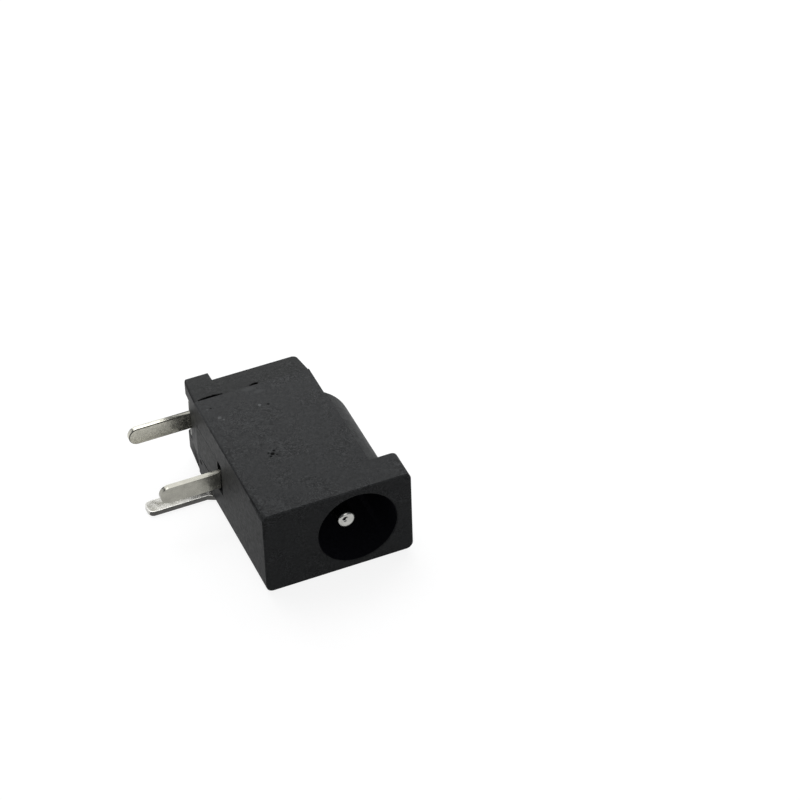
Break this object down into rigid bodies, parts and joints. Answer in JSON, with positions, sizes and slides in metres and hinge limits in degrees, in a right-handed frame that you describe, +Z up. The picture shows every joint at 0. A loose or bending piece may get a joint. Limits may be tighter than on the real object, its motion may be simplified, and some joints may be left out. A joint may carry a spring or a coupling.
{
  "type": "dc barrel jack",
  "caption": "Board-mount DC power jack: black moulded housing and rear cap round a centre pin, with a sleeve contact and a switch contact, each with a flat solder pin.",
  "frame": {"origin": "under the middle of the jack, on the surface that it lies on", "axes": "+X away from the circuit board, so the solder pins point along -X; +Y from the plug opening to the tail; +Z up, across the jack's width, with the switch contact's side down"},
  "size_m": [0.012, 0.0126, 0.0055],
  "materials": {
    "housing_plastic": "satin, finely mottled black moulding",
    "cap_plastic": "satin black moulding",
    "pin_metal": "bright nickel plating on turned brass",
    "contact_metal": "tin plating on stamped brass, slightly dull"
  },
  "bodies": {
    "root": {"housing": "housing_plastic", "rear_cap": "cap_plastic", "centre_pin": "pin_metal", "rear_terminal": "contact_metal", "sleeve_contact": "contact_metal", "switch_contact": "contact_metal"}
  },
  "joints": []
}
